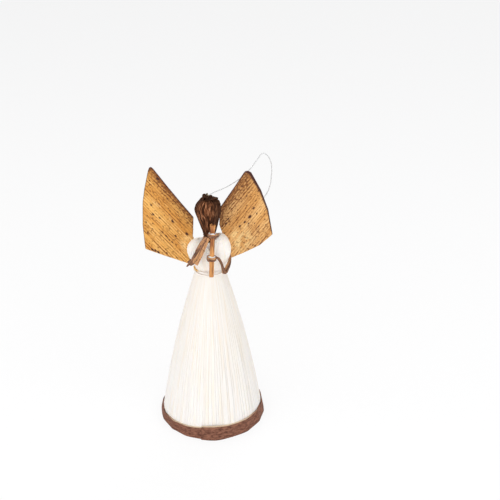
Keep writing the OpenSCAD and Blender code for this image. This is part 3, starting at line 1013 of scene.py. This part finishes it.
class ANGEL_OT_puffs(bpy.types.Operator):
    """Swells the two raffia puffs of the bodice"""

    bl_idname = "angel.puffs"
    bl_label = "Bodice puffs"

    # Angle from a puff's outer side to its front or back seam, and depths of its core and wall under it
    CLOSED = radians(90)
    CORE_IN = 0.45
    WALL_IN = 0.2

    # Raffia gathered under the neck tie: radius at its foot, how far it is drawn in, and height
    GATHER_R = 4.6
    GATHER_DRAW = 1.7
    GATHER_H = 6
    GATHER_TOP = NECK_Z - 0.1

    def execute(self, context):
        self.add_puff(context, "left_puff", -1, 21)
        self.add_puff(context, "right_puff", 1, 22)
        return {"FINISHED"}

    def add_puff(self, context, node, side, seed):
        """A core that closes at the summit, under strips that run up from the waist."""
        sizes = context.scene.angel_sizes
        low, high = box_mm(node)
        reach = -low.x if side < 0 else high.x
        surface = puff_surface(side, reach, high.z - COLLAR_TOP)
        closed = self.CLOSED * side
        bm = new_mesh()

        def core(u, v):
            return surface(u * closed, v, -self.CORE_IN)

        def wall(u, v):
            front, back = (surface(edge, v, -self.WALL_IN) for edge in (-closed, closed))
            return front.lerp(back, (u + 1) / 2) + Vector((0.12 * rough(u * 9, v * 4, closed, 1), 0, 0))

        weld(bm, ribbon(bm, 24, 20, core, fibres(9, 16)))
        weld(bm, ribbon(bm, 16, 20, wall, fibres(6, 16)))
        lapped_strips(
            bm, seed, sizes.puff_strips, (-closed, closed), surface, across=4, along=30, lap=0.16,
            crown=0.06, overlap=1.7, sway=0.05, ragged=0.006, mark=self.tint_and_painted_light)
        if side < 0:
            lapped_strips(
                bm, 25, sizes.puff_strips, (0, TURN), self.gather, across=3, along=12, lap=0.2,
                crown=0.06, overlap=1.8, sway=0.05)
        add_piece(context, node + "_strips", bm, node, "raffia", thickness=sizes.raffia_t)

    def tint_and_painted_light(self, turn, v):
        """Painted light: lighter raffia over the bodice, and warm painted shade towards the summit, at the
        foot and where the puffs meet.
        """
        summit = 0.2 * smooth_step(0.45, 0.95, v)
        foot = 0.15 * (1 - smooth_step(0.06, 0.3, v))
        crease = 0.1 * smooth_step(0.5, 1, abs(sin(turn)))
        return max(summit, foot, crease), 0.8, 0

    def gather(self, angle, v, out):
        """Raffia that is drawn in between the puffs and goes up under the neck tie."""
        radius = self.GATHER_R - self.GATHER_DRAW * smooth_step(0.1, 1, v) + out
        return around(angle, radius, self.GATHER_TOP - self.GATHER_H * (1 - v))


class ANGEL_OT_head(bpy.types.Operator):
    """Draws the bark over the head and leaves its ends standing at the crown"""

    bl_idname = "angel.head"
    bl_label = "Bark head"

    # Depths of the core and of the strips' middle under the head's outline
    CORE_IN = 0.45
    STRIPS_IN = 0.2

    # Ends at the crown: root, tip, width and rise of the arch; the first four are folded back to a knob
    ENDS_FOOT = Vector((-0.3, 0, NECK_Z))
    ENDS = (
        ((-2.3, -0.9, 17.9), (0.4, -0.8, 18.7), 2, 2.3), ((-2.4, 0.2, 18), (0, 0.3, 18.7), 2, 2.4),
        ((-2, 1.3, 18.1), (-0.2, 1.4, 18.6), 1.8, 1.9), ((-1.7, -1.7, 17.8), (0.6, -1.6, 18.4), 1.5, 1.3),
        ((-1, 0.1, 19.6), (-0.3, 0.2, 21.2), 1.2, 0.2), ((-1.6, -0.5, 19.4), (-2.3, -0.8, 20.6), 1.1, 0.2),
        ((0.9, -0.6, 18.6), (3.6, -0.9, 19.5), 1.6, 0.5), ((1.1, 0.2, 18.5), (4, 0.4, 19), 1.5, 0.5),
        ((0.6, -0.9, 18.6), (2.6, -1.9, 19.2), 1.3, 0.5), ((1.5, -0.2, 18.3), (4.5, -0.5, 18.1), 1.4, 0.5),
        ((2.6, -1.2, 17.6), (4.9, -1.4, 17.2), 1.3, 0.4), ((0.4, 0.9, 18.7), (1.4, 2.5, 19.1), 1.3, 0.5),
    )

    def execute(self, context):
        sizes = context.scene.angel_sizes
        bm = new_mesh()

        def core(u, v):
            angle = pi * (u + 1)
            fold = rough(cos(angle) * 4, sin(angle) * 4, v * 4, 1)
            return head_surface(angle, v, 0.16 * fold - self.CORE_IN)

        def creased(angle, v, out):
            return head_surface(angle, v, out - self.STRIPS_IN + 0.12 * rough(angle * 5, v * 20, 7, 1.2))

        weld(bm, ribbon(bm, 72, 48, core, fibres(16, 24)))
        lapped_strips(
            bm, 31, sizes.bark_strips, (0, TURN), creased, across=3, along=44, lap=0.32, crown=0.1,
            overlap=1.9, sway=0.3, ragged=0.06, mark=self.dark_crown_and_painted_shade)
        add_piece(context, "bark_head", bm, "head_wrap", "bark", thickness=sizes.bark_t)
        self.add_ends(context, sizes)
        return {"FINISHED"}

    def dark_crown_and_painted_shade(self, angle, v):
        """Darkens the bark at the crown and at the neck, and paints shade round the two sides, the right
        one most.
        """
        ends = smooth_step(0.8, 1, v) + 0.8 * (1 - smooth_step(0.05, 0.3, v))
        right = 0.8 * smooth_step(0.35, 0.9, cos(angle + 0.2))
        left = 0.7 * smooth_step(0.7, 0.98, -cos(angle))
        return min(1, ends + right + left), 0, 0

    def add_ends(self, context, sizes):
        """Ragged bark ends that bend up and narrow to torn tips."""
        bm = new_mesh()
        for i, (root, tip, width, rise) in enumerate(self.ENDS):
            root, tip = Vector(root) + self.ENDS_FOOT, Vector(tip) + self.ENDS_FOOT
            run = tip - root
            side = run.cross(UP).normalized()
            lift = side.cross(run).normalized()

            def place(u, v):
                torn = 0.35 * rough(u * 2, i * 5, 1, 1) * v
                narrow = width / 2 * (1 - 0.5 * v ** 2)
                arch = rise * sin(pi * v) + 0.18 * (1 - u * u) + 0.12 * rough(u, v * 3, i * 3, 0.6)
                return root + run * (v + torn) + side * narrow * u + lift * arch

            fibre = fibres(width / 2, run.length, i * 0.1)
            ribbon(bm, 6, 10, place, fibre, lambda u, v: (1 - 0.15 * v, 0, 0))
        add_piece(context, "crown_ends", bm, "crown_tuft", "bark", thickness=sizes.ends_t)


class ANGEL_OT_pipe(bpy.types.Operator):
    """Rolls the tan leaf strip to a pipe"""

    bl_idname = "angel.pipe"
    bl_label = "Pipe"

    # Angle of the roll, where it starts and how far it winds in, and the gap under the pipe's foot
    ROLL = 1.7 * TURN
    ROLL_START = 2.2
    ROLL_IN = 0.36
    FOOT_GAP = 0.4

    def execute(self, context):
        sizes = context.scene.angel_sizes
        bm = new_mesh()

        def place(u, v):
            share = (u + 1) / 2
            angle = self.ROLL * share + self.ROLL_START
            mouth = smooth_step(0.9, 1, v)
            flare = 0.08 + 0.2 * mouth
            radius = PIPE_R + flare - self.ROLL_IN * (1 - share) + 0.05 * rough(angle * 2, v * 6, 2, 1)
            torn = 0.9 * rough(angle * 1.5, 3, 0, 1) * mouth + 0.3 * rough(angle, 0, 5, 1) * (1 - v)
            return about_pipe(angle, radius, self.FOOT_GAP + (PIPE_LENGTH - self.FOOT_GAP) * v + torn)

        ribbon(bm, 60, 40, place, fibres(4.5, PIPE_LENGTH), self.paler)
        add_piece(context, "rolled_pipe", bm, "pipe", "pipe_leaf", thickness=sizes.pipe_t)
        return {"FINISHED"}

    def paler(self, u, v):
        """Marks the paler lower half and mouth of the pipe."""
        return 1.1 - 0.85 * smooth_step(0.3, 0.55, v) + 0.6 * smooth_step(0.86, 0.95, v), 0, 0


class ANGEL_OT_arms(bpy.types.Operator):
    """Folds the two arm strips from the shoulders to the hands"""

    bl_idname = "angel.arms"
    bl_label = "Arms"

    # Directions across the strips that stay flat
    LEFT_ACROSS = (-0.9, 0, 0.42)
    TIP_ACROSS = (0.6, 0, 0.8)
    RIGHT_ACROSS = (0.88, -0.45, 0.16)

    # Stations of each strip: point from the middle of the collar's top, direction across and width
    COLLAR = Vector((0, 0, COLLAR_TOP))
    LEFT_UPPER = (
        ((-7.9, -1.2, 3), (-0.1, -0.2, 0.97), 1.5), ((-8.4, -4.4, 3.5), (-0.3, -0.2, 0.9), 1.8),
        ((-7.9, -7, 4.7), (-0.6, -0.3, 0.74), 2.2), ((-6.6, -8, 6.4), (-0.8, -0.2, 0.55), 2.6),
        ((-5.4, -8.15, 7.8), LEFT_ACROSS, 2.6),
    )
    LEFT_FORE = (
        ((-6.3, -8.8, 5.8), LEFT_ACROSS, 3.4), ((-5.2, -8.7, 8.2), LEFT_ACROSS, 3.5),
        ((-3.5, -8.5, 12), LEFT_ACROSS, 3.4), ((-2.1, -8.3, 15.1), LEFT_ACROSS, 3.1),
        ((-0.7, -8.1, 17.7), LEFT_ACROSS, 2.2),
    )
    LEFT_TIP = (
        ((-6.6, -8.5, 6.7), TIP_ACROSS, 1.3), ((-7.6, -8.6, 6), TIP_ACROSS, 1.2),
        ((-8.5, -8.6, 5.3), TIP_ACROSS, 0.8), ((-9.2, -8.6, 4.5), TIP_ACROSS, 0.25),
    )
    RIGHT_UPPER = (
        ((8.2, -0.3, 4.9), (0.75, -0.3, 0.3), 0.9), ((8.1, -2.5, 3.4), (0.75, -0.25, 0.3), 1.4),
        ((7.3, -4.8, 1.8), (0.8, -0.3, 0.3), 1.9), ((6.3, -6.7, 0.4), (0.85, -0.35, 0.25), 2.1),
    )
    RIGHT_FORE = (
        ((6.1, -7.1, 0.1), RIGHT_ACROSS, 1.8), ((5.8, -7.3, 1.4), RIGHT_ACROSS, 1.5),
        ((5.4, -7.6, 3.4), RIGHT_ACROSS, 1.2), ((4.7, -8.2, 6.2), RIGHT_ACROSS, 1.2),
        ((3.7, -8.65, 8.2), (0.88, -0.45, 0.3), 1.3), ((2.6, -8.8, 8.9), (0.5, -0.45, 0.7), 1.3),
    )

    # Strips of each arm: stations, height of the ridge, how tan the strip is, and slant of its cut
    LEFT = ((LEFT_UPPER, 0.1, -0.7, 0), (LEFT_FORE, 0.3, 0.15, -0.2), (LEFT_TIP, 0.15, -0.8, 0))
    RIGHT = ((RIGHT_UPPER, 0.12, 0.1, 0), (RIGHT_FORE, 0.1, -0.6, 0))

    def execute(self, context):
        arm_t = context.scene.angel_sizes.arm_t
        for node, arm in (("left_arm", self.LEFT), ("right_arm", self.RIGHT)):
            bm = new_mesh()
            for strip in arm:
                self.add_strip(bm, *strip)
            add_piece(context, node + "_strip", bm, node, "arm_leaf", thickness=arm_t, offset=0.0)
        return {"FINISHED"}

    def add_strip(self, bm, stations, ridge, tan, slant):
        """One strip with a ridge along its middle, cut at a slant at its foot."""
        points = [Vector(at) + self.COLLAR for at, _, _ in stations]
        sides = [Vector(side) for _, side, _ in stations]
        widths = [Vector((width, 0)) for _, _, width in stations]

        def place(u, v):
            along = direction(points, v)
            side = smooth_point(sides, v)
            side = (side - along * side.dot(along)).normalized()
            half = smooth_point(widths, v).x / 2 * (1 + 0.06 * rough(v * 9, u, 3, 1))
            swell = ridge * (1 - abs(u)) + 0.08 * rough(u * 2, v * 9, 1, 1)
            foot = -slant * (0.4 + u) * (1 - v) ** 3
            return smooth_point(points, v) + side * half * u + along.cross(side) * -swell + along * foot

        fibre = fibres(1.8, sum(runs(points)))
        ribbon(bm, 12, 40, place, fibre, lambda u, v: ((1 - u) / 2 + tan, 0, 0))


class ANGEL_OT_hands(bpy.types.Operator):
    """Curls the narrow strips round the pipe and fills them with glue"""

    bl_idname = "angel.hands"
    bl_label = "Hands"

    # Angle and length of a curled strip, and radius of the glue with its height above the curl's middle
    CURL = radians(430)
    CURL_LENGTH = 12
    GLUE_R = 0.36
    GLUE_UP = 0.55

    def execute(self, context):
        self.add_curl(context, "left_hand", LEFT_HAND_UP, radians(20))
        self.add_curl(context, "right_hand", RIGHT_HAND_UP, radians(250))
        self.add_glue(context)
        return {"FINISHED"}

    def add_curl(self, context, node, up, end):
        """A strip that winds a little more than once and stands out at its end."""
        sizes = context.scene.angel_sizes
        width = sizes.hand_w / MM
        bm = new_mesh()

        def place(u, v):
            angle = end - self.CURL * (1 - v)
            out = 0.1 + 0.4 * v + 0.9 * smooth_step(0.9, 1, v) + 0.06 * rough(v * 8, u, up, 1)
            half = width / 2 * (1 - 0.15 * v)
            return about_pipe(angle, HAND_IN_R + out, up + u * half + 0.25 * (v - 0.5))

        fibre = fibres(width / 2, self.CURL_LENGTH)
        ribbon(bm, 6, 64, place, fibre, lambda u, v: (0.35 * (1 + u), 0, 0))
        add_piece(context, node + "_curl", bm, node, "arm_leaf", thickness=sizes.hand_t, offset=0.0)

    def add_glue(self, context):
        """A lumpy collar of glue inside each curl, with a drop on its front."""
        bm = new_mesh()
        middle = (PIPE_R + HAND_IN_R) / 2
        right, back, along = pipe_axes()
        for up in (LEFT_HAND_UP, RIGHT_HAND_UP):
            def ring(v):
                angle = TURN * v
                out = right * cos(angle) + back * sin(angle)
                height = up + self.GLUE_UP + 0.15 * sin(3 * angle + up)
                return about_pipe(angle, middle, height), out, along

            def lump(turn, v):
                angle = TURN * v
                drop = 0.2 * max(0, -sin(angle))
                return self.GLUE_R + drop + 0.07 * rough(cos(angle), sin(angle), turn, 0.5)

            tube(bm, 12, 40, ring, lump)
        add_piece(context, "glue_dabs", bm, "hand_glue", "glue", levels=1)


class ANGEL_OT_wings(bpy.types.Operator):
    """Cuts the two leaf wings, each to its own outline"""

    bl_idname = "angel.wings"
    bl_label = "Wings"

    # Foot, head and tip are a wing's edges, from the middle outwards and up, in its own plane. Bow is how
    # far the leaf bulges, and grain the angle of its veins. Edge is the darkness at the upper edge, its
    # reach and the darkness further in, shade the darkness low down, and margin the width of the dark
    # outer rim. Sheen and ridge are places of painted highlights, at the root's creases and along a ridge,
    # with their spread, and specks have a width.
    LEFT = {
        "foot": ((0.8, -3), (9.6, -6.9), (27.5, -1.6)),
        "head": ((0.8, 2), (7.3, 4.2), (7, 10.2), (6.8, 15), (14.9, 25.5), (22.9, 36.2), (23.9, 37.1)),
        "tip": (
            (27.5, -1.6), (28.2, 10), (27.7, 20.9), (26.8, 26.8), (25, 35.2), (24.6, 36.5), (23.9, 37.1)),
        "bow": 0.42,
        "grain": 48,
        "finish": "golden_leaf",
        "edge": (0.95, 2.2, 0.28),
        "shade": 0.1,
        "margin": 0.2,
        "sheen": (8, 2.5, 4.5),
        "ridge": (19.4, 17.5, 1.3),
        "specks": (
            (21, 32.2, 0.9), (24.2, 19.8, 0.6), (23.5, 15.5, 0.7), (20.8, 14, 0.6), (15.4, 12.8, 0.8),
            (9.6, 7.3, 0.9), (26.6, 11.4, 0.5), (26.2, 6.4, 0.5), (19.9, 7.3, 0.5), (18.4, 5.6, 0.5),
            (17.1, 3.8, 0.5), (14.3, 5.9, 0.6), (15.9, 2.8, 0.5), (14.3, 1.8, 0.5), (24.5, -1.6, 0.8),
            (23.2, -2, 0.7), (21.9, -2.6, 0.8), (18.3, -2.6, 0.5), (14.1, -4.5, 0.4),
        ),
    }
    RIGHT = {
        "foot": ((0.8, -2), (8.7, -4.2), (13.6, -2.3), (20.7, 0.9), (26.1, 5.6)),
        "head": (
            (0.8, 2), (6.6, 4.6), (5.3, 7), (3.9, 11.9), (4.5, 20), (9.45, 27.5), (14.1, 34.95),
            (14.75, 35.7), (15.9, 35.9)),
        "tip": ((26.1, 5.6), (24.2, 17.6), (21.3, 26.5), (17.9, 33.6), (17.2, 35), (15.9, 35.9)),
        "bow": 0.3,
        "grain": 53,
        "finish": "tan_leaf",
        "edge": (1.15, 5, 0),
        "shade": 0.3,
        "margin": 1.7,
        "sheen": (12.5, 4.5, 6),
        "ridge": (14, 9, 0.7),
        "specks": (
            (16.5, 14.9, 1), (14.4, 12.5, 0.7), (12.3, 10.7, 0.7), (18.1, 18.8, 0.7), (20, 26.7, 0.5),
            (19.4, 16.2, 0.5), (15.9, 11.7, 0.5), (20.1, 9.9, 0.5), (6.6, 12.4, 0.7), (7.6, 14.5, 0.6),
        ),
    }

    # Root of the leaf, reach of its creases and of its far shade, span of its bow, and faces of its mesh
    ROOT = Vector((4, 3))
    CREASE_REACH = 9
    SHADE_REACH = 9
    # Length along the grain of the painted highlight on the ridge
    RIDGE_HIGHLIGHT_REACH = 8
    SPAN = 30
    COLUMNS = 110
    ROWS = 120
    CORNER_SHARE = 0.012

    def execute(self, context):
        self.add_wing(context, "left_wing", -1, self.LEFT)
        self.add_wing(context, "right_wing", 1, self.RIGHT)
        return {"FINISHED"}

    def add_wing(self, context, node, side, cut):
        """A leaf between its four edges, a little bowed, with creases at its root."""
        foot, head, tip = ([Vector((x, y)) for x, y in cut[name]] for name in ("foot", "head", "tip"))
        turn = radians(cut["grain"])
        grain = Vector((cos(turn), sin(turn)))
        cross = Vector((-grain.y, grain.x))
        column_corners = corner_shares(foot) + corner_shares(head)
        row_corners = corner_shares(tip)

        def flat(u, v):
            s = snap((u + 1) / 2, column_corners, self.COLUMNS)
            s, t = self.round_corners(s, snap(v, row_corners, self.ROWS))
            ruled = polyline(foot, s).lerp(polyline(head, s), t)
            straight = foot[-1].lerp(head[-1], t)
            return ruled + (polyline(tip, t) - straight) * s

        def place(u, v):
            at = flat(u, v)
            near = exp(-((at - self.ROOT).length / self.CREASE_REACH) ** 2)
            crease = 0.3 * near * rough(at.dot(cross) * 1.2, at.dot(grain) * 0.25, side * 4, 1)
            bow = cut["bow"] * sin(pi * min(1, at.x / self.SPAN))
            w = crease - bow + 0.1 * rough(at.x, at.y, side * 9, 6)
            x = at.x * cos(WING_SWEEP) - w * sin(WING_SWEEP)
            y = at.x * sin(WING_SWEEP) + w * cos(WING_SWEEP)
            return Vector((side * x, WING_Y + y, WING_Z + at.y))

        def fibre(u, v):
            at = flat(u, v)
            return at.dot(cross) * MM, at.dot(grain) * MM

        def mark(u, v):
            at = flat(u, v)
            edge = (at - flat(u, 1)).length
            near, reach, far = cut["edge"]
            dark = near * exp(-(edge / reach) ** 1.3) + far * exp(-(edge / self.SHADE_REACH) ** 2)
            dark *= smooth_step(5, 15, at.y)
            dark += cut["shade"] * (1 - smooth_step(3, 17, at.y)) * smooth_step(8, 17, at.x)
            width = cut["margin"] * (0.3 + 0.7 * v)
            margin = 1 - smooth_step(0.45 * width, 0.9 * width, (at - flat(1, v)).length)
            speck = max(self.speck(at, *spot, grain) for spot in cut["specks"])
            # Painted highlights: sheen on the creases at the root, and a pale ridge along the grain
            x, y, spread = cut["sheen"]
            sheen = exp(-((at - Vector((x, y))).length / spread) ** 2)
            x, y, spread = cut["ridge"]
            away = at - Vector((x, y))
            off = (away.dot(cross) / spread) ** 2 + (away.dot(grain) / self.RIDGE_HIGHLIGHT_REACH) ** 2
            ridge = 0.55 * exp(-off)
            return dark, max(speck, margin), max(sheen, ridge)

        bm = new_mesh()
        ribbon(bm, self.COLUMNS, self.ROWS, place, fibre, mark)
        add_piece(
            context, node + "_leaf", bm, node, "wing_leaf", [cut["finish"], "leaf_edge"],
            thickness=context.scene.angel_sizes.wing_t, offset=0.0, rim=1)

    def round_corners(self, s, t):
        """Rounds the two outer corners of the unit square."""
        reach = self.CORNER_SHARE
        a = max(0, s - 1 + reach)
        b = max(0, abs(t - 0.5) - 0.5 + reach)
        if a and b:
            shrink = max(a, b) / hypot(a, b)
            s = 1 - reach + a * shrink
            t = 0.5 + copysign(0.5 - reach + b * shrink, t - 0.5)
        return s, t

    def speck(self, at, x, y, width, grain):
        """How dark one speck, longer along the grain, makes a point."""
        away = at - Vector((x, y))
        along = away.dot(grain)
        across = (away - grain * along).length
        return 1 - smooth_step(0.4, 0.75, hypot(across, along * 0.6) / width)


class ANGEL_OT_hidden_pieces(bpy.types.Operator):
    """Finishes the card cone and the ball inside the head"""

    bl_idname = "angel.hidden_pieces"
    bl_label = "Hidden pieces"

    def execute(self, context):
        for node in ("card_cone", "head_ball"):
            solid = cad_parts[node].data
            solid.materials.clear()
            solid.materials.append(finish_of(context, "card"))
        return {"FINISHED"}


class ANGEL_PT_pieces(bpy.types.Panel):
    """Lists the angel's pieces in the sidebar"""

    bl_label = "Raffia angel"
    bl_idname = "ANGEL_PT_pieces"
    bl_space_type = "VIEW_3D"
    bl_region_type = "UI"
    bl_category = "Angel"

    def draw(self, context):
        for operator in OPERATORS:
            self.layout.operator(operator.bl_idname)
        for group in (context.scene.angel_sizes, context.scene.angel_colours):
            for name in group.__annotations__:
                self.layout.prop(group, name)


OPERATORS = (
    ANGEL_OT_stage, ANGEL_OT_thread, ANGEL_OT_skirt, ANGEL_OT_hem_band, ANGEL_OT_ties, ANGEL_OT_puffs,
    ANGEL_OT_head, ANGEL_OT_pipe, ANGEL_OT_arms, ANGEL_OT_hands, ANGEL_OT_wings, ANGEL_OT_hidden_pieces,
)
CLASSES = (AngelSizes, AngelColours, *OPERATORS, ANGEL_PT_pieces)


def register():
    for cls in CLASSES:
        bpy.utils.register_class(cls)
    bpy.types.Scene.angel_sizes = PointerProperty(type=AngelSizes)
    bpy.types.Scene.angel_colours = PointerProperty(type=AngelColours)


def unregister():
    del bpy.types.Scene.angel_colours
    del bpy.types.Scene.angel_sizes
    for cls in reversed(CLASSES):
        bpy.utils.unregister_class(cls)


def main():
    register()
    bpy.ops.angel.stage()
    bpy.ops.angel.thread()
    bpy.ops.angel.skirt()
    bpy.ops.angel.hem_band()
    bpy.ops.angel.ties()
    bpy.ops.angel.puffs()
    bpy.ops.angel.head()
    bpy.ops.angel.pipe()
    bpy.ops.angel.arms()
    bpy.ops.angel.hands()
    bpy.ops.angel.wings()
    bpy.ops.angel.hidden_pieces()


if __name__ == "__main__":
    main()
